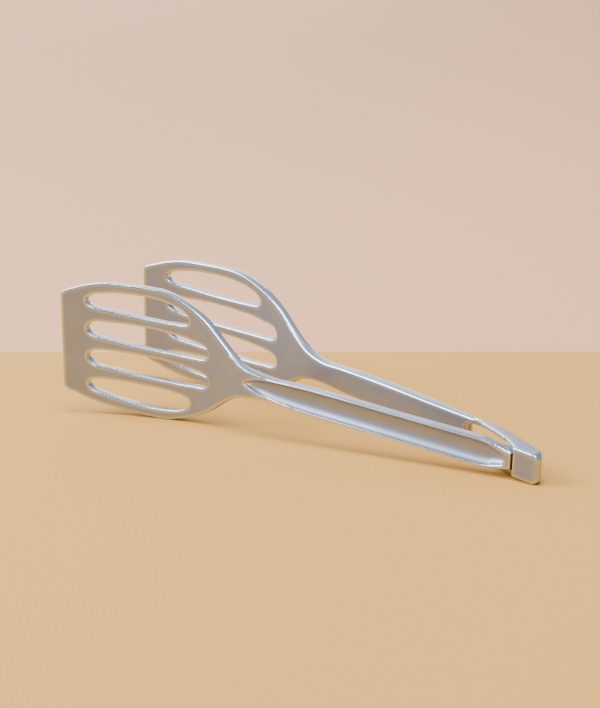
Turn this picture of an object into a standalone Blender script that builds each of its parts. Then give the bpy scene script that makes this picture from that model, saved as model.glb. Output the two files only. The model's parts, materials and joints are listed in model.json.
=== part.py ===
"""Serving tongs: two cast aluminium arms with slotted turner blades, hinged on a hidden steel pin
and held open by a torsion spring."""

import math

import bmesh
import bpy
from mathutils import Matrix, Vector

MM = 0.001

# Every arm is drawn flat in its own frame, in millimetres, with its origin at the heel, where the
# two frames meet: x runs along the arm to the blade, z across its width, and y towards the tail
# arm's side.
TIP = 295.0
TILT = math.radians(7.16)  # how far the arms climb from the hinge to the blades
OPEN = math.radians(5.31)  # each arm's angle from the middle when the tongs rest open
BLADE = 5.0  # thickness of a blade
WEB = 3.0  # thickness of a handle's web
RIM = 1.6  # thickness of a handle's rims
TAIL_IN, TAIL_OUT = -0.8, 5.5  # inner face and outer rims of the tail arm's handle
TAIL_BLADE = 2.0  # inner face of the tail arm's blade before bending
HOUSE_IN, HOUSE_OUT = -5.93, -12.2  # inner face and outer rims of the housing arm
PIVOT = Vector((6.5, 1.9, 0.0))  # the pin's place in the housing arm's frame
PIN_R = 1.2
GAP = 0.3
KNUCKLE_R = 2.7
KNUCKLE_HALF = 3.6
TAIL_HALF = 3.65  # half width of the tail inside the box
LIP_HALF = 4.05  # half width of the tail where it meets the box
FORK = 1.9  # half width of the slot that holds the spring
BOX_HALF = 7.22  # half width of the hinge box
BOX_END = -6.15
CAP_EDGE, CAP_IN, CAP_OUT = 8.8, 5.0, 7.0
WIRE_R = 0.35
COIL_R = PIN_R + GAP + WIRE_R
TURNS = 2.0

# Half width of an arm at each distance from the heel, from the handle to the front corner.
HANDLE = [(40, 7.0), (75, 6.8), (105, 7.05), (135, 6.6), (150, 6.05)]
BLADE_EDGE = [(165, 7.7), (175, 10.9), (185, 16.5), (195, 23.4), (205, 28.7), (217, 33.2), (228, 35.9),
              (240, 36.5), (256, 35.9), (269, 35.1), (280, 32.9), (287, 30.6), (293, 28.6), (TIP, 26.0)]
TAIL_END = [(-1, TAIL_HALF), (9.6, TAIL_HALF), (10.3, LIP_HALF), (11.5, LIP_HALF), (14, 4.9), (18, 5.8),
            (23, 6.4), (27, 7.0)]
HOUSE_END = [(22, 7.0)]
OUTER_SLOT = [(214, 20.1), (238, 19.0), (261, 19.7), (275, 20.7), (279.7, 23.6), (276, 27.3),
              (268, 29.1), (258, 30.5), (241, 31.2), (229, 30.5), (220, 29.0), (213, 26.3), (210.7, 23.4)]
INNER_SLOT = [(199, 4.4), (209, 3.3), (225, 2.6), (245, 2.4), (263, 3.0), (275, 4.2), (279.7, 8.0),
              (275, 12.3), (266, 13.1), (247, 14.0), (233, 13.9), (217, 13.4), (208, 12.5), (199.5, 11.5),
              (196.6, 8.0)]
TROUGH = [(13, 3.0), (20, 4.6), (32, RIM), (140, RIM), (157, 3.6), (165, 0.6)]
# Angle of the blade to the handle at each distance from the pin, in degrees.
SWEEP = [(145, 0.0), (173, -12.9), (200, -3.3), (230, 7.7), (260, 11.3), (TIP, 24.8)]
STEP = 6.0

TAIL_PIVOT = Matrix.Rotation(-2 * OPEN, 3, "Z") @ PIVOT  # the pin's place in the tail arm's frame

for item in list(bpy.data.objects):
    bpy.data.objects.remove(item, do_unlink=True)
tongs = bpy.data.collections.new("serving_tongs")
bpy.context.scene.collection.children.link(tongs)


def material(name, colour, roughness):
    made = bpy.data.materials.new(name)
    made.use_nodes = True
    shader = made.node_tree.nodes["Principled BSDF"]
    shader.inputs["Base Color"].default_value = (*colour, 1.0)
    shader.inputs["Metallic"].default_value = 1.0
    shader.inputs["Roughness"].default_value = roughness
    return made


def along(table, x):
    """The value at x on the straight lines between the points of a table."""
    if x <= table[0][0]:
        return table[0][1]
    for (x0, y0), (x1, y1) in zip(table, table[1:]):
        if x <= x1:
            return y0 + (y1 - y0) * (x - x0) / (x1 - x0)
    return table[-1][1]


def smooth(points, cuts, closed):
    """Points on a Catmull-Rom curve through the given ones."""
    n = len(points)
    path = []
    for i in range(n if closed else n - 1):
        a, b, c, d = (
            Vector(points[k % n] if closed else points[min(max(k, 0), n - 1)]) for k in range(i - 1, i + 3)
        )
        for k in range(cuts):
            t = k / cuts
            bow = 2 * a - 5 * b + 4 * c - d
            turn = 3 * b - a - 3 * c + d
            path.append(b + (c - a) * t / 2 + bow * t * t / 2 + turn * t**3 / 2)
    if not closed:
        path.append(Vector(points[-1]))
    return [tuple(p) for p in path]


def both_sides(edge):
    return edge + [(x, -z) for x, z in reversed(edge)]


def tidy(mesh):
    work = bmesh.new()
    work.from_mesh(mesh)
    bmesh.ops.remove_doubles(work, verts=work.verts, dist=1e-6)
    bmesh.ops.recalc_face_normals(work, faces=work.faces)
    work.to_mesh(mesh)
    work.free()


def plate(name, loops, low, high, upright):
    """A plate with an outline and holes. An upright one is drawn in (x, z) and is thick along y;
    the others are drawn in (x, y) and are thick along z."""
    curve = bpy.data.curves.new(name, "CURVE")
    curve.dimensions = "2D"
    curve.fill_mode = "BOTH"
    curve.extrude = (high - low) / 2 * MM
    for loop in loops:
        spline = curve.splines.new("POLY")
        spline.points.add(len(loop) - 1)
        for point, (a, b) in zip(spline.points, loop):
            point.co = (a * MM, b * MM, 0, 1)
        spline.use_cyclic_u = True
    drawn = bpy.data.objects.new(name, curve)
    tongs.objects.link(drawn)
    graph = bpy.context.evaluated_depsgraph_get()
    mesh = bpy.data.meshes.new_from_object(drawn.evaluated_get(graph))
    bpy.data.objects.remove(drawn, do_unlink=True)
    mesh.transform(Matrix.Translation((0, 0, (low + high) / 2 * MM)))
    if upright:
        mesh.transform(Matrix(((1, 0, 0, 0), (0, 0, 1, 0), (0, 1, 0, 0), (0, 0, 0, 1))))
    tidy(mesh)
    made = bpy.data.objects.new(name, mesh)
    tongs.objects.link(made)
    return made


def cylinder(name, centre, radius, low, high, sides=32):
    """A cylinder about the pin's axis, which is at the given centre."""
    turn = [2 * math.pi * k / sides for k in range(sides)]
    loop = [(centre.x + radius * math.cos(a), centre.y + radius * math.sin(a)) for a in turn]
    return plate(name, [loop], low, high, False)


def combine(body, tool, operation):
    """Joins the tool to the body, cuts it away or keeps what they share, and removes the tool."""
    change = body.modifiers.new(tool.name, "BOOLEAN")
    change.operation = operation
    change.solver = "EXACT"
    change.object = tool
    graph = bpy.context.evaluated_depsgraph_get()
    mesh = bpy.data.meshes.new_from_object(body.evaluated_get(graph))
    body.modifiers.clear()
    body.data = mesh
    bpy.data.objects.remove(tool, do_unlink=True)
    tidy(mesh)


def spine():
    """The bent middle line: x, y and angle at each step of the blade."""
    x, y, at = SWEEP[0][0], 0.0, SWEEP[0][0]
    line = [(at, x, y, 0.0)]
    while at < TIP + STEP:
        middle = math.radians(along(SWEEP, at + STEP / 2))
        at += STEP
        x += STEP * math.cos(middle)
        y += STEP * math.sin(middle)
        line.append((at, x, y, math.radians(along(SWEEP, at))))
    return line


def bend(body):
    """Cuts the blade into strips and bends them along the spine."""
    line = spine()
    work = bmesh.new()
    work.from_mesh(body.data)
    for at, _, _, _ in line:
        bmesh.ops.bisect_plane(
            work,
            geom=work.verts[:] + work.edges[:] + work.faces[:],
            dist=1e-7,
            plane_co=(at * MM, 0, 0),
            plane_no=(1, 0, 0),
        )
    for vert in work.verts:
        x, y, z = vert.co / MM
        if x <= line[0][0]:
            continue
        k = min(int((x - line[0][0]) / STEP), len(line) - 2)
        t = (x - line[k][0]) / STEP
        (_, x0, y0, a0), (_, x1, y1, a1) = line[k], line[k + 1]
        across = -(math.sin(a0) * (1 - t) + math.sin(a1) * t)
        out = math.cos(a0) * (1 - t) + math.cos(a1) * t
        vert.co = Vector((x0 + (x1 - x0) * t + y * across, y0 + (y1 - y0) * t + y * out, z)) * MM
    bmesh.ops.triangulate(work, faces=work.faces, quad_method="BEAUTY", ngon_method="BEAUTY")
    bmesh.ops.remove_doubles(work, verts=work.verts, dist=2e-6)
    bmesh.ops.dissolve_degenerate(work, edges=work.edges, dist=2e-6)
    bmesh.ops.recalc_face_normals(work, faces=work.faces)
    work.to_mesh(body.data)
    work.free()


def slotted(name, end, low, high):
    """An arm's outline with its four slots, as a thick plate."""
    edge = smooth(HANDLE + BLADE_EDGE, 2, False)
    loops = [both_sides(end + edge)]
    for slot in (OUTER_SLOT, INNER_SLOT):
        loop = smooth(slot, 2, True)
        loops.append(loop)
        loops.append([(x, -z) for x, z in loop])
    return plate(name, loops, low, high, True)


def trough(low, high, start):
    """The pocket between a handle's rims."""
    edge = []
    for x, inset in TROUGH:
        half = along(TAIL_END + HANDLE + BLADE_EDGE, x)
        edge.append((max(x, start), inset if x > 150 or x < 25 else half - inset))
    return plate("trough", [both_sides(smooth(edge, 2, False))], low, high, True)


def tail_arm():
    arm = slotted("tail_arm", TAIL_END, -8.0, 12.0)
    side = [(7, -1.9), (12, TAIL_IN), (145, TAIL_IN), (155, -0.45), (165, 0.8), (171, TAIL_BLADE),
            (TIP + 9, TAIL_BLADE), (TIP + 9, TAIL_BLADE + BLADE), (183, TAIL_BLADE + BLADE), (175, 7.5),
            (165, 7.1), (155, 5.85), (145, TAIL_OUT), (10.6, TAIL_OUT), (10.6, 2.9), (7, 3.2)]
    combine(arm, plate("side", [side], -50, 50, False), "INTERSECT")
    combine(arm, trough(TAIL_IN + WEB, 12, 13), "DIFFERENCE")
    combine(arm, cylinder("knuckle", TAIL_PIVOT, KNUCKLE_R, -KNUCKLE_HALF, KNUCKLE_HALF), "UNION")
    combine(arm, cylinder("bore", TAIL_PIVOT, PIN_R + GAP, -12, 12), "DIFFERENCE")
    fork = [(2, -7), (2, 7), (9.3, 7), (9.3, 2.5), (13, -0.3), (13, -7)]
    combine(arm, plate("fork", [fork], -FORK, FORK, False), "DIFFERENCE")
    step = [(0, -8), (0, 8.5), (8.9, 6.4), (11.4, 5.0), (18.4, 1.3), (24.8, -0.7), (30, -2.4), (30, -8)]
    for side in (-1, 1):
        low, high = sorted((side * 5.05, side * 12))
        combine(arm, plate("step", [step], low, high, False), "DIFFERENCE")
    bend(arm)
    return arm


def box():
    """The solid that the hinge box is cut from."""
    nose, corner = 2.4, 3.5
    quarter = [math.radians(15 * k) for k in range(7)]
    arc = [(BOX_END + nose - nose * math.sin(a), CAP_OUT - nose + nose * math.cos(a)) for a in quarter]
    front = [(44, -8.2), (40, -5.3), (28, -1.9), (18, 1.5), (11, 5.4), (CAP_EDGE, CAP_OUT - 0.3),
             (CAP_EDGE, CAP_OUT)]
    back = [(-4.8, 2.9), (-2.7, 0.6), (0, -1.2), (6.5, -3.4), (16, -6.3), (28, -8.9)]
    block = plate("box", [front + arc + back], -BOX_HALF, BOX_HALF, False)
    edge = [
        (BOX_END + corner - corner * math.cos(a), BOX_HALF - corner + corner * math.sin(a)) for a in quarter
    ]
    combine(block, plate("end", [both_sides(edge + [(60, BOX_HALF + 0.1)])], -20, 20, True), "INTERSECT")
    return block


def bevel(side, inset):
    """A block above one of the two long bevels that thin the hinge box towards its back."""
    run = Vector((28.5, -7.3, 0)).normalized()
    up = run.cross(Vector((0, -1, -0.5 * side))).normalized()
    if up.z * side < 0:
        up = -up
    corner = Vector((-0.8, 0.3, BOX_HALF * side)) + up * (15 - inset)
    frame = Matrix((run, up.cross(run), up)).transposed().to_4x4()
    block = bmesh.new()
    bmesh.ops.create_cube(block, size=1.0)
    mesh = bpy.data.meshes.new("bevel")
    block.to_mesh(mesh)
    block.free()
    mesh.transform(Matrix.Diagonal((120 * MM, 60 * MM, 30 * MM, 1)))
    mesh.transform(Matrix.Translation(corner * MM) @ frame)
    tidy(mesh)
    made = bpy.data.objects.new("bevel", mesh)
    tongs.objects.link(made)
    return made


def housing_arm():
    arm = slotted("housing_arm", HOUSE_END, -16.0, -2.0)
    side = [(22, HOUSE_IN), (TIP + 9, HOUSE_IN), (TIP + 9, HOUSE_IN - BLADE), (183, HOUSE_IN - BLADE),
            (155, HOUSE_OUT), (48, HOUSE_OUT), (30, -9.4), (22, -7.5)]
    combine(arm, plate("side", [side], -50, 50, False), "INTERSECT")
    combine(arm, trough(-20, HOUSE_IN - WEB, 42), "DIFFERENCE")
    combine(arm, box(), "UNION")
    room, mouth = TAIL_HALF + 0.35, LIP_HALF + 0.35
    sides = [(-5, room), (8.6, room), (CAP_EDGE, mouth), (12, mouth), (14, 5.4), (45, 5.4)]
    floor = HOUSE_IN - 0.25
    plan = [(45, floor), (45, CAP_IN), (-4.2, CAP_IN), (-3.3, 3.4), (-1.6, 1.7), (0.8, 0.1), (6.5, -1.9),
            (16, -4.7), (22.5, floor)]
    cavity = plate("cavity", [plan], -12, 12, False)
    combine(cavity, plate("sides", [both_sides(sides)], -20, 20, True), "INTERSECT")
    for side in (-1, 1):
        combine(cavity, bevel(side, 1.0), "DIFFERENCE")
        combine(arm, bevel(side, 0.0), "DIFFERENCE")
    combine(arm, cavity, "DIFFERENCE")
    combine(arm, plate("mouth", [both_sides(sides[2:])], 0, 12, True), "DIFFERENCE")
    window = [(14.4, 0.1), (15.5, 2.9), (18, 3.9), (42, 4.0), (48, 3.8), (49, 3.0), (49.2, 0.1)]
    window = both_sides(smooth(window, 2, False))
    combine(arm, plate("window", [window], -20, HOUSE_IN + 3, True), "DIFFERENCE")
    combine(arm, cylinder("bore", PIVOT, PIN_R + GAP, -12, 5.6), "DIFFERENCE")
    bend(arm)
    return arm


def spring():
    """A torsion coil round the pin, with one leg on the housing's web and one under the tail."""
    web_leg = Vector((12, -2.95)) - PIVOT.xy
    under = Vector((13.5, TAIL_IN - GAP - WIRE_R)) - TAIL_PIVOT.xy
    tail_leg = Matrix.Rotation(2 * OPEN, 2) @ under
    first = math.atan2(web_leg.y, web_leg.x) - math.acos(COIL_R / web_leg.length)
    last = math.atan2(tail_leg.y, tail_leg.x) + math.acos(COIL_R / tail_leg.length)
    last -= 2 * math.pi * (TURNS + 1)
    rise = 1.15
    count = 40
    path = [(web_leg.x, web_leg.y, -rise)]
    for k in range(count + 1):
        angle = first + (last - first) * k / count
        path.append((COIL_R * math.cos(angle), COIL_R * math.sin(angle), -rise + 2 * rise * k / count))
    path.append((tail_leg.x, tail_leg.y, rise))
    curve = bpy.data.curves.new("return_spring", "CURVE")
    curve.dimensions = "3D"
    curve.bevel_depth = WIRE_R * MM
    curve.bevel_resolution = 2
    curve.use_fill_caps = True
    wire = curve.splines.new("POLY")
    wire.points.add(len(path) - 1)
    for point, place in zip(wire.points, path):
        point.co = (*((Vector(place) + PIVOT) * MM), 1)
    drawn = bpy.data.objects.new("wire", curve)
    tongs.objects.link(drawn)
    graph = bpy.context.evaluated_depsgraph_get()
    mesh = bpy.data.meshes.new_from_object(drawn.evaluated_get(graph))
    bpy.data.objects.remove(drawn, do_unlink=True)
    tidy(mesh)
    made = bpy.data.objects.new("return_spring", mesh)
    tongs.objects.link(made)
    return made


house = housing_arm()
tail = tail_arm()
coil = spring()
pin = cylinder("hinge_pin", PIVOT, PIN_R, -6.7, 5.3, 24)

cast = material("cast_aluminium", (0.62, 0.62, 0.61), 0.32)
steel = material("steel", (0.55, 0.55, 0.56), 0.25)
for obj, surface in ((house, cast), (tail, cast), (pin, steel), (coil, steel)):
    obj.data.materials.clear()
    obj.data.materials.append(surface)
for obj in (pin, coil):
    for face in obj.data.polygons:
        face.use_smooth = len(face.vertices) < 5

# The stance: both arms climb by the tilt, and stand open by the same angle each side of the middle.
stance = Matrix(
    (
        (-math.cos(TILT), 0, math.sin(TILT), 0),
        (0, -1, 0, 0),
        (math.sin(TILT), 0, math.cos(TILT), 0),
        (0, 0, 0, 1),
    )
)
base = bpy.data.objects.new("housing_frame", None)
joint = bpy.data.objects.new("tail_joint", None)
for empty in (base, joint):
    tongs.objects.link(empty)
joint.parent = base
base.matrix_world = stance @ Matrix.Rotation(-OPEN, 4, "Z")
joint.matrix_local = Matrix.Translation(PIVOT * MM) @ Matrix.Rotation(2 * OPEN, 4, "Z")
for obj in (house, pin, coil):
    obj.parent = base
tail.parent = joint
tail.location = -TAIL_PIVOT * MM
bpy.context.view_layer.update()

corners = [obj.matrix_world @ v.co for obj in (house, tail) for v in obj.data.vertices]
low = [min(c[k] for c in corners) for k in range(3)]
high = [max(c[k] for c in corners) for k in range(3)]
base.location -= Vector(((low[0] + high[0]) / 2, (low[1] + high[1]) / 2, low[2]))
bpy.context.view_layer.update()

place = joint.matrix_world.translation
print("pin at", [round(c, 6) for c in place], "axis", [round(c, 6) for c in stance.col[2][:3]])
print("size", [round((high[k] - low[k]) / MM, 2) for k in range(3)])
for obj in (house, tail):
    heights = [(obj.matrix_world @ v.co) for v in obj.data.vertices]
    hinge_end = min(h.z for h in heights if (h - place).length < 0.03)
    blade_end = min(h.z for h in heights if (h - place).length > 0.15)
    print(obj.name, "lowest near the hinge", round(hinge_end / MM, 3))
    print(obj.name, "lowest at the blade", round(blade_end / MM, 3))
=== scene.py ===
"""The looks of the serving tongs: two satin cast aluminium arms, the steel pin and its spring, on a
pale floor against a plain backdrop, seen from the photograph's viewing angle."""

import json
import math

import bmesh
import bpy
import numpy as np
from mathutils import Matrix, Vector


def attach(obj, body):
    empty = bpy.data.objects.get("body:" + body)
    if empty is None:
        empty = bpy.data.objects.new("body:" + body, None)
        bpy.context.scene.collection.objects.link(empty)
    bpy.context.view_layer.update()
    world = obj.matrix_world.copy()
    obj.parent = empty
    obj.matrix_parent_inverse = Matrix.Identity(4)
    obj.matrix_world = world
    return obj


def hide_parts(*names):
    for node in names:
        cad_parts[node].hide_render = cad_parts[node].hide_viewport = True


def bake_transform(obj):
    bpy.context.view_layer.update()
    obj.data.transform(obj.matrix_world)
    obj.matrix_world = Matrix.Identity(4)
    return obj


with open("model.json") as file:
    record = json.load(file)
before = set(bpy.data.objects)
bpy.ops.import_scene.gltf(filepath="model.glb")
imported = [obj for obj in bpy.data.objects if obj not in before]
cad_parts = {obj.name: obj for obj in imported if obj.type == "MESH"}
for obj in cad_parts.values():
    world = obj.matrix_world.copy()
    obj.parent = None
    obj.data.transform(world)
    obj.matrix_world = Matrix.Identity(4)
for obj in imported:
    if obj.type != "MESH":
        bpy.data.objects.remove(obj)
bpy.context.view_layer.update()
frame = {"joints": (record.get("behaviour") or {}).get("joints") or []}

MM = 0.001
PIN = Vector(frame["joints"][0]["pos_m"])
AXIS = -Vector(frame["joints"][0]["axis"])

# Each arm is made flat, in millimetres, from the heel, where the two arms' frames meet: x runs along
# the arm to the blade, z across its width, and y towards the tail arm's side. It is then bent and
# put in place.
TIP = 295.0
TILT = math.atan2(AXIS.x, AXIS.z)
OPEN = math.radians(5.31)
BLADE = 5.0
TAIL_IN, TAIL_OUT, TAIL_BLADE = -0.8, 5.5, 2.0
HOUSE_IN, HOUSE_OUT = -5.93, -12.2
PIVOT = Vector((6.5, 1.9, 0.0))  # the pin's place in the housing arm's frame
TAIL_PIVOT = Matrix.Rotation(-2 * OPEN, 3, "Z") @ PIVOT
PIN_R, BORE_R, KNUCKLE_R = 1.2, 1.5, 2.7
PIN_LOW, PIN_HIGH, BORE_TOP = -6.7, 5.3, 5.6
KNUCKLE_HALF = 3.6
TAIL_HALF, LIP_HALF, LIP_X = 3.65, 4.05, 10.6
SHOULDER = 5.05  # half width of the tail arm between the box's cheeks
FORK = 1.9
ROOM, MOUTH, CHANNEL = 4.0, 4.4, 5.4
BOX_HALF, BOX_END = 7.22, -6.15
CAP_EDGE, CAP_IN, CAP_OUT = 8.8, 5.0, 7.0
WIRE_R = 0.35
COIL_R = PIN_R + 0.3 + WIRE_R
CLEAR = 9.0  # how far the trough's cutter stands out of the handle
# Lengths of cutters that pass right through: across the handle, the box's depth and the blade.
ACROSS, THROUGH, BROAD = 12, 20, 50
FINE_VOXEL = 0.42
VOXEL = FINE_VOXEL
# How many rounds of smoothing each region gets, and of spreading for the polished edges with their painted
# highlight.
HANDLE_ROUNDING, BOX_ROUNDING, EDGE_ROUNDING, NECK_ROUNDING, POLISH_AND_HIGHLIGHT_REACH = 44, 14, 6, 40, 8

HANDLE = [(40, 7.0), (75, 6.8), (105, 7.05), (135, 6.6), (150, 6.05)]
BLADE_EDGE = [(165, 7.7), (175, 10.9), (185, 16.5), (195, 23.4), (205, 28.7), (217, 33.2), (228, 35.9),
              (240, 36.5), (256, 35.9), (269, 35.1), (280, 32.9), (287, 30.6), (292.5, 28.8), (TIP, 26.6)]
TAIL_END = [(-1, TAIL_HALF), (9.6, TAIL_HALF), (10.3, LIP_HALF), (11.5, LIP_HALF), (14, 4.9), (18, 5.8),
            (23, 6.4), (27, 7.0)]
HOUSE_END = [(22, 7.0)]
OUTER_SLOT = [(214, 20.1), (238, 19.0), (261, 19.7), (275, 20.7), (279.7, 23.6), (276, 27.3),
              (268, 29.1), (258, 30.5), (241, 31.2), (229, 30.5), (220, 29.0), (213, 26.3), (210.7, 23.4)]
INNER_SLOT = [(199, 4.4), (209, 3.3), (225, 2.6), (245, 2.4), (263, 3.0), (275, 4.2), (279.7, 8.0),
              (275, 12.3), (266, 13.1), (247, 14.0), (233, 13.9), (217, 13.4), (208, 12.5), (199.5, 11.5),
              (196.6, 8.0)]
SWEEP = [(145, 0.0), (173, -12.9), (200, -3.3), (230, 7.7), (260, 11.3), (TIP, 24.8), (TIP + 20, 24.8)]
# The trough: at each distance from the heel, its half width and its depth below the rims.
TROUGH = [(13.6, 1.4, 0.9), (14.6, 2.6, 2.0), (17, 3.5, 3.0), (21, 4.5, 3.6), (27, 5.6, 3.8),
          (60, 5.8, 3.8), (120, 5.9, 3.8), (140, 5.3, 3.5), (152, 4.4, 3.1), (160, 3.2, 2.6), (167, 0.5, 0.7)]

# The arms' own frames in the row frame: how they climb, and where the heel is.
STANCE = Matrix(
    (
        (-math.cos(TILT), 0, math.sin(TILT), 0),
        (0, -1, 0, 0),
        (math.sin(TILT), 0, math.cos(TILT), 0),
        (0, 0, 0, 1),
    )
)
HEEL = PIN - (STANCE @ Matrix.Rotation(-OPEN, 4, "Z")).to_3x3() @ PIVOT * MM


# ---- geometry helpers ------------------------------------------------------------------------------

def smooth(points, cuts, closed):
    """Points on a Catmull-Rom curve through the given ones."""
    n = len(points)
    path = []
    for i in range(n if closed else n - 1):
        a, b, c, d = (
            Vector(points[k % n] if closed else points[min(max(k, 0), n - 1)]) for k in range(i - 1, i + 3)
        )
        for k in range(cuts):
            t = k / cuts
            bow = 2 * a - 5 * b + 4 * c - d
            turn = 3 * b - a - 3 * c + d
            path.append(0.5 * (2 * b + (c - a) * t + bow * t * t + turn * t**3))
    if not closed:
        path.append(Vector(points[-1]))
    return [tuple(p) for p in path]


def both_sides(edge):
    return edge + [(x, -z) for x, z in reversed(edge)]


def link(name, mesh):
    made = bpy.data.objects.new(name, mesh)
    bpy.context.scene.collection.objects.link(made)
    return made


def tidy(mesh):
    work = bmesh.new()
    work.from_mesh(mesh)
    bmesh.ops.remove_doubles(work, verts=work.verts, dist=1e-4)
    bmesh.ops.recalc_face_normals(work, faces=work.faces)
    work.to_mesh(mesh)
    work.free()


def applied(obj):
    """Bakes the object's modifiers into its mesh."""
    graph = bpy.context.evaluated_depsgraph_get()
    mesh = bpy.data.meshes.new_from_object(obj.evaluated_get(graph))
    obj.modifiers.clear()
    obj.data = mesh


def plate(loops, low, high, upright):
    """A plate with an outline and holes, drawn in (x, z) if upright and in (x, y) if not."""
    curve = bpy.data.curves.new("plate", "CURVE")
    curve.dimensions = "2D"
    curve.fill_mode = "BOTH"
    curve.extrude = (high - low) / 2
    for loop in loops:
        spline = curve.splines.new("POLY")
        spline.points.add(len(loop) - 1)
        for point, (a, b) in zip(spline.points, loop):
            point.co = (a, b, 0, 1)
        spline.use_cyclic_u = True
    drawn = link("plate", curve)
    graph = bpy.context.evaluated_depsgraph_get()
    mesh = bpy.data.meshes.new_from_object(drawn.evaluated_get(graph))
    bpy.data.objects.remove(drawn, do_unlink=True)
    mesh.transform(Matrix.Translation((0, 0, (low + high) / 2)))
    if upright:
        mesh.transform(Matrix(((1, 0, 0, 0), (0, 0, 1, 0), (0, 1, 0, 0), (0, 0, 0, 1))))
    tidy(mesh)
    return link("plate", mesh)


def cylinder(centre, radius, low, high, sides=64):
    turn = [2 * math.pi * k / sides for k in range(sides)]
    loop = [(centre.x + radius * math.cos(a), centre.y + radius * math.sin(a)) for a in turn]
    return plate([loop], low, high, False)


def combine(body, tool, operation):
    change = body.modifiers.new("combine", "BOOLEAN")
    change.operation = operation
    change.solver = "EXACT"
    change.object = tool
    applied(body)
    bpy.data.objects.remove(tool, do_unlink=True)
    tidy(body.data)


def loft(rings):
    """A closed solid through rings that have the same number of points."""
    work = bmesh.new()
    rows = [[work.verts.new(p) for p in ring] for ring in rings]
    for one, two in zip(rows, rows[1:]):
        for k in range(len(one)):
            m = (k + 1) % len(one)
            work.faces.new((one[k], one[m], two[m], two[k]))
    work.faces.new(rows[0])
    work.faces.new(rows[-1])
    mesh = bpy.data.meshes.new("loft")
    work.to_mesh(mesh)
    work.free()
    tidy(mesh)
    return link("loft", mesh)


# ---- the arms --------------------------------------------------------------------------------------

def slotted(end, low, high):
    edge = smooth(HANDLE + BLADE_EDGE, 6, False)
    loops = [both_sides(end + edge)]
    for slot in (OUTER_SLOT, INNER_SLOT):
        loop = smooth(slot, 6, True)
        loops += [loop, [(x, -z) for x, z in loop]]
    return plate(loops, low, high, True)


def trough(rim, outward, first):
    """The round-bottomed hollow between a handle's rims. Its rims lie at y = rim and it is open on
    the outward side (1 or -1)."""
    rows = [row for row in TROUGH if row[0] >= first]
    rings = []
    for x, half, depth in smooth(rows, 6, False):
        half, depth = max(half, 0.3), max(depth, 0.3)
        ring = []
        for k in range(17):
            a = math.pi * k / 16
            across = half * math.copysign(abs(math.cos(a)) ** 0.92, math.cos(a))
            ring.append((x, rim - outward * depth * math.sin(a) ** 0.9, across))
        ring.append((x, rim + outward * CLEAR, -half))
        ring.append((x, rim + outward * CLEAR, half))
        rings.append(ring)
    return loft(rings)


def softened(arm, name, reach, repeats):
    """Makes the arm's mesh even and smooths it where reach, a function of x, is above zero."""
    even = arm.modifiers.new("even", "REMESH")
    even.mode = "VOXEL"
    even.voxel_size = VOXEL
    applied(arm)
    group = arm.vertex_groups.new(name=name)
    points = np.empty(len(arm.data.vertices) * 3)
    arm.data.vertices.foreach_get("co", points)
    weight = np.clip(reach(points[0::3]), 0, 1)
    for k in np.nonzero(weight > 0)[0]:
        group.add([int(k)], float(weight[k]), "REPLACE")
    soft = arm.modifiers.new("soft", "SMOOTH")
    soft.factor = 0.5
    soft.iterations = round(repeats * (FINE_VOXEL / VOXEL) ** 2)
    soft.vertex_group = name
    applied(arm)
    arm.vertex_groups.clear()


def rounded_handle(arm):
    """Gives the handle its generous outer rounding, before its trough is cut."""
    softened(arm, "handle", lambda x: np.minimum((x - 16) / 14, (178 - x) / 20), HANDLE_ROUNDING)


def finished(arm):
    """Rounds every edge a little, and blends the trough into the neck."""
    softened(arm, "all", lambda x: np.ones_like(x), EDGE_ROUNDING)
    softened(arm, "neck", lambda x: np.minimum((x - 138) / 14, (205 - x) / 20), NECK_ROUNDING)


def spine():
    """The bent middle line at each millimetre: distance, x, y and angle."""
    at = np.arange(SWEEP[0][0] - 20.0, TIP + 20.0, 1.0)
    angle = np.interp(at, [a for a, _ in SWEEP], [b for _, b in SWEEP])
    kernel = np.hanning(13)
    kernel /= kernel.sum()
    padded = np.pad(angle, 6, mode="edge")
    angle = np.radians(np.convolve(padded, kernel, "valid"))
    middle = (angle[1:] + angle[:-1]) / 2
    x = at[0] + np.concatenate([[0], np.cumsum(np.cos(middle))])
    y = np.concatenate([[0], np.cumsum(np.sin(middle))])
    return at, x, y, angle


def bend(mesh):
    at, line_x, line_y, angle = spine()
    points = np.empty(len(mesh.vertices) * 3)
    mesh.vertices.foreach_get("co", points)
    points = points.reshape(-1, 3)
    far = points[:, 0] > at[0]
    x, y = points[far, 0], points[far, 1]
    turn = np.interp(x, at, angle)
    points[far, 0] = np.interp(x, at, line_x) - y * np.sin(turn)
    points[far, 1] = np.interp(x, at, line_y) + y * np.cos(turn)
    mesh.vertices.foreach_set("co", points.ravel())


def edge_polish_and_highlight(mesh):
    """Marks the rounded edges with a 0 to 1 attribute, so that the material can polish them and paint a
    highlight on them in a brighter colour.
    """
    count = len(mesh.vertices)
    normals = np.empty(count * 3)
    mesh.vertices.foreach_get("normal", normals)
    normals = normals.reshape(-1, 3)
    ends = np.empty(len(mesh.edges) * 2, np.int64)
    mesh.edges.foreach_get("vertices", ends)
    ends = ends.reshape(-1, 2)
    degree = np.bincount(ends.ravel(), minlength=count)[:, None]
    around = normals.copy()
    for _ in range(round(POLISH_AND_HIGHLIGHT_REACH * (FINE_VOXEL / VOXEL) ** 2)):
        total = around.copy()
        np.add.at(total, ends[:, 0], around[ends[:, 1]])
        np.add.at(total, ends[:, 1], around[ends[:, 0]])
        around = total / (degree + 1)
    turned = 1 - np.linalg.norm(around, axis=1)
    # This mask gives the edges a real polish (lower roughness) and a painted highlight (brighter colour).
    polish_and_highlight = np.clip(turned / 0.06, 0, 1)
    layer = mesh.attributes.new("polish_and_highlight", "FLOAT", "POINT")
    layer.data.foreach_set("value", polish_and_highlight.astype(np.float32))


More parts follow.
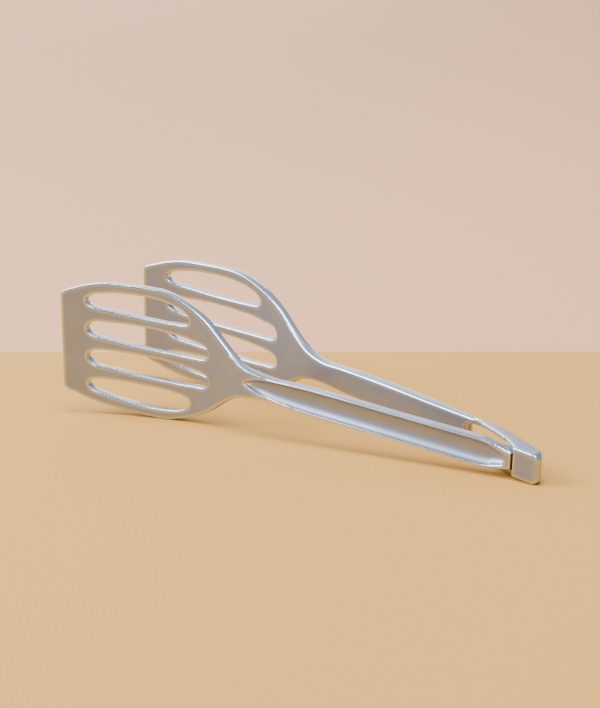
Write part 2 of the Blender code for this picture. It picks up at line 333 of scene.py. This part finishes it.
def placed(obj, name, side):
    """Puts a piece that was made flat, in millimetres, at its place in the row frame."""
    turn = Matrix.Rotation(side * OPEN, 4, "Z")
    obj.data.transform(Matrix.Translation(HEEL) @ STANCE @ turn @ Matrix.Scale(MM, 4))
    obj.data.polygons.foreach_set("use_smooth", [True] * len(obj.data.polygons))
    obj.data.update()
    obj.name = name
    return obj


def tail_arm():
    arm = slotted(TAIL_END, -8.0, 12.0)
    inner = smooth([(12, TAIL_IN), (145, TAIL_IN), (155, -0.45), (165, 0.8), (175, TAIL_BLADE),
                    (TIP + 9, TAIL_BLADE)], 5, False)
    outer = smooth([(TIP + 9, TAIL_BLADE + BLADE), (190, TAIL_BLADE + BLADE), (176, 7.4), (165, 7.0),
                    (155, 5.9), (145, TAIL_OUT), (LIP_X, TAIL_OUT)], 5, False)
    side = [(7, -1.9)] + inner + outer + [(LIP_X, 2.9), (7, 3.2)]
    combine(arm, plate([side], -BROAD, BROAD, False), "INTERSECT")
    rounded_handle(arm)
    combine(arm, trough(TAIL_OUT, 1, 0), "DIFFERENCE")
    combine(arm, cylinder(TAIL_PIVOT, KNUCKLE_R, -KNUCKLE_HALF, KNUCKLE_HALF), "UNION")
    combine(arm, cylinder(TAIL_PIVOT, BORE_R, -ACROSS, ACROSS), "DIFFERENCE")
    fork = [(2, -7), (2, 7), (9.3, 7), (9.3, 2.5), (13, -0.3), (13, -7)]
    combine(arm, plate([fork], -FORK, FORK, False), "DIFFERENCE")
    step = [(0, -8), (0, 8.5), (8.9, 6.4), (11.4, 5.0), (18.4, 1.3), (24.8, -0.7), (30, -2.4), (30, -8)]
    for low, high in ((-ACROSS, -SHOULDER), (SHOULDER, ACROSS)):
        combine(arm, plate([step], low, high, False), "DIFFERENCE")
    finished(arm)
    bend(arm.data)
    edge_polish_and_highlight(arm.data)
    return placed(arm, "tail_casting", 1)


def slope(side, inset, start=(-0.8, 0.3), end=(27.7, -7.0)):
    """A block above one of the long slopes that thin the hinge box and handle towards their back."""
    run = Vector((end[0] - start[0], end[1] - start[1], 0)).normalized()
    up = run.cross(Vector((0, -1, -0.5 * side))).normalized()
    if up.z * side < 0:
        up = -up
    corner = Vector((*start, BOX_HALF * side)) + up * (15 - inset)
    block = bmesh.new()
    bmesh.ops.create_cube(block, size=1.0)
    mesh = bpy.data.meshes.new("slope")
    block.to_mesh(mesh)
    block.free()
    mesh.transform(Matrix.Diagonal((120, 60, 30, 1)))
    mesh.transform(Matrix.Translation(corner) @ Matrix((run, up.cross(run), up)).transposed().to_4x4())
    tidy(mesh)
    return link("slope", mesh)


def box_block():
    """The hinge box before it is hollowed, with its edges rounded."""
    nose, corner = 2.4, 3.5
    quarter = [math.radians(10 * k) for k in range(10)]
    arc = [(BOX_END + nose - nose * math.sin(a), CAP_OUT - nose + nose * math.cos(a)) for a in quarter]
    back = [(-5.9, 3.9), (-4.8, 2.5), (-2.7, 0.5), (0, -1.2), (6.5, -3.4), (16, -6.3), (28, -8.9)]
    back = smooth(back, 3, False)
    plan = [(44, -8.9), (44, CAP_OUT)] + arc + back
    block = plate([plan], -BOX_HALF, BOX_HALF, False)
    edge = [
        (BOX_END + corner - corner * math.cos(a), BOX_HALF - corner + corner * math.sin(a)) for a in quarter
    ]
    combine(block, plate([both_sides(edge + [(60, BOX_HALF + 0.1)])], -THROUGH, THROUGH, True), "INTERSECT")
    for side in (-1, 1):
        combine(block, slope(side, 0.0), "DIFFERENCE")
    even = block.modifiers.new("even", "REMESH")
    even.mode = "VOXEL"
    even.voxel_size = VOXEL
    soft = block.modifiers.new("soft", "SMOOTH")
    soft.factor = 0.5
    soft.iterations = round(BOX_ROUNDING * (FINE_VOXEL / VOXEL) ** 2)
    applied(block)
    # The cheeks' slanting front edges, cut after the rounding so that they stay crisp.
    above = [(60, 20), (CAP_EDGE, 20), (CAP_EDGE, 6.3), (11, 5.2), (18, 1.5), (28, -1.9), (38, -4.6),
             (42, -5.93), (60, -5.93)]
    combine(block, plate([above], -ACROSS, ACROSS, False), "DIFFERENCE")
    return block


def housing_arm():
    arm = slotted(HOUSE_END, -16.0, -2.0)
    outer = smooth([(TIP + 9, HOUSE_IN - BLADE), (190, HOUSE_IN - BLADE), (172, -11.6), (155, HOUSE_OUT),
                    (60, HOUSE_OUT), (48, -11.8), (36, -10.4), (28, -8.8), (22, -7.5)], 5, False)
    side = [(22, HOUSE_IN), (TIP + 9, HOUSE_IN)] + outer
    combine(arm, plate([side], -BROAD, BROAD, False), "INTERSECT")
    rounded_handle(arm)
    combine(arm, trough(HOUSE_OUT, -1, 50), "DIFFERENCE")
    for side in (-1, 1):
        combine(arm, slope(side, 0.0, (27.7, -6.8), (110.0, -13.0)), "DIFFERENCE")
    combine(arm, box_block(), "UNION")
    sides = [(-5, ROOM), (8.6, ROOM), (CAP_EDGE, MOUTH), (12, MOUTH), (14, CHANNEL), (45, CHANNEL)]
    floor = HOUSE_IN - 0.25
    plan = [(45, floor), (45, CAP_IN), (-4.2, CAP_IN), (-3.3, 3.4), (-1.6, 1.7), (0.8, 0.1), (6.5, -1.9),
            (16, -4.7), (22.5, floor)]
    cavity = plate([plan], -ACROSS, ACROSS, False)
    combine(cavity, plate([both_sides(sides)], -THROUGH, THROUGH, True), "INTERSECT")
    for side in (-1, 1):
        combine(cavity, slope(side, 1.1), "DIFFERENCE")
    combine(arm, cavity, "DIFFERENCE")
    combine(arm, plate([both_sides(sides[2:])], 0, ACROSS, True), "DIFFERENCE")
    window = [(14.4, 0.1), (15.5, 2.9), (18, 3.9), (42, 4.0), (48, 3.8), (49, 3.0), (49.2, 0.1)]
    window = smooth(window, 4, False)
    combine(arm, plate([both_sides(window)], -THROUGH, HOUSE_IN + 3, True), "DIFFERENCE")
    combine(arm, cylinder(PIVOT, BORE_R, -ACROSS, BORE_TOP), "DIFFERENCE")
    finished(arm)
    bend(arm.data)
    edge_polish_and_highlight(arm.data)
    return placed(arm, "housing_casting", -1)


# ---- the pin and the spring ------------------------------------------------------------------------

def hinge_pin():
    pin = cylinder(PIVOT, PIN_R, PIN_LOW, PIN_HIGH)
    rim = pin.modifiers.new("rim", "BEVEL")
    rim.width = 0.25
    rim.segments = 3
    rim.limit_method = "ANGLE"
    applied(pin)
    return placed(pin, "pivot", -1)


def return_spring():
    web_leg = Vector((12, -2.95)) - PIVOT.xy
    under = Vector((13.5, TAIL_IN - 0.3 - WIRE_R)) - TAIL_PIVOT.xy
    tail_leg = Matrix.Rotation(2 * OPEN, 2) @ under
    first = math.atan2(web_leg.y, web_leg.x) - math.acos(COIL_R / web_leg.length)
    last = math.atan2(tail_leg.y, tail_leg.x) + math.acos(COIL_R / tail_leg.length) - 6 * math.pi
    rise, count = 1.15, 120
    path = [(web_leg.x, web_leg.y, -rise)]
    for k in range(count + 1):
        a = first + (last - first) * k / count
        path.append((COIL_R * math.cos(a), COIL_R * math.sin(a), -rise + 2 * rise * k / count))
    path.append((tail_leg.x, tail_leg.y, rise))
    curve = bpy.data.curves.new("coil", "CURVE")
    curve.dimensions = "3D"
    curve.bevel_depth = WIRE_R
    curve.bevel_resolution = 4
    curve.use_fill_caps = True
    wire = curve.splines.new("POLY")
    wire.points.add(len(path) - 1)
    for point, place in zip(wire.points, path):
        point.co = (*(Vector(place) + PIVOT), 1)
    drawn = link("coil", curve)
    graph = bpy.context.evaluated_depsgraph_get()
    mesh = bpy.data.meshes.new_from_object(drawn.evaluated_get(graph))
    bpy.data.objects.remove(drawn, do_unlink=True)
    tidy(mesh)
    return placed(link("coil", mesh), "coil_spring", -1)


# ---- materials -------------------------------------------------------------------------------------

class Nodes:
    """Short calls for building a material's nodes."""

    def __init__(self, name):
        self.material = bpy.data.materials.new(name)
        self.material.use_nodes = True
        self.tree = self.material.node_tree
        self.shader = self.tree.nodes["Principled BSDF"]

    def add(self, kind, **inputs):
        node = self.tree.nodes.new(kind)
        for key, value in inputs.items():
            socket = node.inputs[key.replace("_", " ")]
            if isinstance(value, bpy.types.NodeSocket):
                self.tree.links.new(value, socket)
            else:
                socket.default_value = value
        return node

    def ramp(self, factor, stops):
        node = self.tree.nodes.new("ShaderNodeValToRGB")
        self.tree.links.new(factor, node.inputs["Fac"])
        points = node.color_ramp.elements
        while len(points) < len(stops):
            points.new(0.5)
        for point, (at, colour) in zip(points, stops):
            point.position = at
            point.color = (*colour, 1) if isinstance(colour, tuple) else (colour, colour, colour, 1)
        return node.outputs["Color"]

    def mix(self, factor, one, two):
        node = self.tree.nodes.new("ShaderNodeMix")
        node.data_type = "RGBA"
        for socket, value in ((node.inputs[0], factor), (node.inputs[6], one), (node.inputs[7], two)):
            if isinstance(value, bpy.types.NodeSocket):
                self.tree.links.new(value, socket)
            else:
                socket.default_value = (*value, 1) if isinstance(value, tuple) else value
        return node.outputs[2]

    def set(self, **inputs):
        for key, value in inputs.items():
            socket = self.shader.inputs[key.replace("_", " ")]
            if isinstance(value, bpy.types.NodeSocket):
                self.tree.links.new(value, socket)
            else:
                socket.default_value = value


def aluminium():
    n = Nodes("cast_aluminium")
    place = n.add("ShaderNodeTexCoord").outputs["Object"]
    cloud = n.add("ShaderNodeTexNoise", Vector=place, Scale=55.0, Detail=4.0, Roughness=0.6)
    grain = n.add("ShaderNodeTexNoise", Vector=place, Scale=900.0, Detail=5.0, Roughness=0.65)
    pits = n.add("ShaderNodeTexNoise", Vector=place, Scale=420.0, Detail=2.0, Roughness=0.5)
    polish_and_highlight_node = n.add("ShaderNodeAttribute")
    polish_and_highlight_node.attribute_name = "polish_and_highlight"
    polish_and_highlight = polish_and_highlight_node.outputs["Fac"]
    face = n.ramp(cloud.outputs["Fac"], [(0.3, (0.29, 0.335, 0.45)), (0.7, (0.34, 0.39, 0.515))])
    speck = n.ramp(grain.outputs["Fac"], [(0.35, 0.86), (0.65, 1.0)])
    toned = n.tree.nodes.new("ShaderNodeMix")
    toned.data_type = "RGBA"
    toned.blend_type = "MULTIPLY"
    toned.inputs[0].default_value = 0.6
    n.tree.links.new(face, toned.inputs[6])
    n.tree.links.new(speck, toned.inputs[7])
    # Rounded edges get a brighter colour, a painted highlight, and a lower roughness for their polish.
    colour = n.mix(polish_and_highlight, toned.outputs[2], (0.58, 0.62, 0.69))
    dull = n.ramp(cloud.outputs["Fac"], [(0.3, 0.52), (0.7, 0.42)])
    rough = n.mix(polish_and_highlight, dull, (0.20, 0.20, 0.20))
    height = n.mix(0.5, grain.outputs["Fac"], pits.outputs["Fac"])
    bump = n.add("ShaderNodeBump", Strength=0.10, Distance=0.0004, Height=height)
    n.set(Base_Color=colour, Roughness=rough, Metallic=1.0, Normal=bump.outputs["Normal"])
    return n.material


def steel(name, dark, light, roughness):
    n = Nodes(name)
    place = n.add("ShaderNodeTexCoord").outputs["Object"]
    cloud = n.add("ShaderNodeTexNoise", Vector=place, Scale=600.0, Detail=3.0)
    drawn = n.add("ShaderNodeTexNoise", Vector=place, Scale=2500.0, Detail=2.0)
    colour = n.ramp(cloud.outputs["Fac"], [(0.3, dark), (0.7, light)])
    rough = n.ramp(cloud.outputs["Fac"], [(0.3, roughness), (0.7, roughness + 0.12)])
    bump = n.add("ShaderNodeBump", Strength=0.15, Distance=0.0001, Height=drawn.outputs["Fac"])
    n.set(Base_Color=colour, Roughness=rough, Metallic=1.0, Normal=bump.outputs["Normal"])
    return n.material


def paper(name, dark, light, scale):
    n = Nodes(name)
    place = n.add("ShaderNodeTexCoord").outputs["Object"]
    fibre = n.add("ShaderNodeTexNoise", Vector=place, Scale=scale, Detail=6.0, Roughness=0.7)
    colour = n.ramp(fibre.outputs["Fac"], [(0.3, dark), (0.7, light)])
    bump = n.add("ShaderNodeBump", Strength=0.12, Distance=0.0003, Height=fibre.outputs["Fac"])
    n.set(Base_Color=colour, Roughness=0.85, Normal=bump.outputs["Normal"])
    n.shader.inputs["Specular IOR Level"].default_value = 0.2
    return n.material


# ---- putting it together ---------------------------------------------------------------------------

tail = tail_arm()
house = housing_arm()
pivot = hinge_pin()
coil = return_spring()
cast = aluminium()
turned = steel("pin_steel", (0.5, 0.5, 0.5), (0.6, 0.6, 0.61), 0.25)
wire = steel("spring_steel", (0.3, 0.3, 0.32), (0.45, 0.45, 0.46), 0.3)
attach(tail, "tail")
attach(house, "housing")
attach(pivot, "housing")
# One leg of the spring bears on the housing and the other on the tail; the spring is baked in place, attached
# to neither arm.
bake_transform(coil)
for piece, node, slot, look in (
    (tail, "tail_arm", "cast_aluminium", cast),
    (house, "housing_arm", "cast_aluminium", cast),
    (pivot, "hinge_pin", "pin_steel", turned),
    (coil, "return_spring", "spring_steel", wire),
):
    piece.data.materials.clear()
    piece.data.materials.append(look)
    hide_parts(node)

# The camera, placed from the heel in millimetres: its position and the directions it is turned to.
EYE = HEEL + Vector((376.54, -525.59, 216.92)) * MM
RIGHT = Vector((0.72174, 0.68817, -0.07429))
UP = Vector((-0.11390, 0.22395, 0.96792))
BACK = Vector((0.68273, -0.69013, 0.24002))
FRAME_W, FRAME_H, FOCAL = 600, 708, 1500.0

camera = bpy.data.objects.new("camera", bpy.data.cameras.new("camera"))
bpy.context.scene.collection.objects.link(camera)
camera.matrix_world = Matrix.Translation(EYE) @ Matrix((RIGHT, UP, BACK)).transposed().to_4x4()
camera.data.sensor_fit = "VERTICAL"
camera.data.sensor_height = 36.0
camera.data.lens = 36.0 * FOCAL / FRAME_H
camera.data.clip_start = 0.01
bpy.context.scene.camera = camera


def on_floor(x, y):
    """The floor point behind an image point."""
    ray = RIGHT * (x - FRAME_W / 2) / FOCAL - UP * (y - FRAME_H / 2) / FOCAL - BACK
    return EYE - ray * (EYE.z / ray.z)


def flat(name, corners, look):
    mesh = bpy.data.meshes.new(name)
    mesh.from_pydata([tuple(c) for c in corners], [], [tuple(range(len(corners)))])
    mesh.materials.append(look)
    made = link(name, mesh)
    return made


# The paper on the floor ends just under halfway down the frame. The backdrop rises so gently from
# there that the tongs can be seen over it from behind.
FOOT = 0.497
left, right = (on_floor(x, FOOT * FRAME_H) for x in (0, FRAME_W))
run = (right - left).normalized()
toward = run.cross(Vector((0, 0, 1))).normalized()
if toward.dot(EYE - left) < 0:
    toward = -toward
a, b = left - run * 3, right + run * 3
rise = Vector((0, 0, 0.24)) - toward * 1.2
kraft = paper("kraft_paper", (0.53, 0.265, 0.053), (0.70, 0.365, 0.082), 900.0)
pale = paper("backdrop_paper", (0.69, 0.37, 0.205), (0.72, 0.39, 0.225), 200.0)
flat("floor", [a, b, b + toward * 3, a + toward * 3], kraft)
flat("backdrop", [a, b, b + rise, a + rise], pale)


def lamp(name, place, target, width, height, power, colour):
    data = bpy.data.lights.new(name, "AREA")
    data.shape = "RECTANGLE"
    data.size = width
    data.size_y = height
    data.energy = power
    data.color = colour
    made = bpy.data.objects.new(name, data)
    made.location = place
    made.rotation_euler = (Vector(target) - Vector(place)).to_track_quat("-Z", "Y").to_euler()
    bpy.context.scene.collection.objects.link(made)


lamp("overhead", (0.25, -0.1, 1.3), (0, 0, 0), 0.6, 0.6, 22.0, (1.0, 0.99, 0.98))
lamp("front", (0.6, -1.5, 1.0), (0, 0, 0.05), 1.4, 1.0, 12.0, (1.0, 0.97, 0.94))
lamp("left", (-1.0, -0.64, 1.0), (0.1, 0, 0.03), 0.95, 0.95, 36.0, (0.95, 0.98, 1.0))
lamp("back", (-1.2, 1.0, 0.75), (0, 0, 0.05), 1.4, 0.8, 14.0, (0.95, 0.98, 1.0))

world = bpy.data.worlds.new("studio")
bpy.context.scene.world = world
world.use_nodes = True
world.node_tree.nodes["Background"].inputs["Color"].default_value = (0.75, 0.86, 1.0, 1)
world.node_tree.nodes["Background"].inputs["Strength"].default_value = 0.55
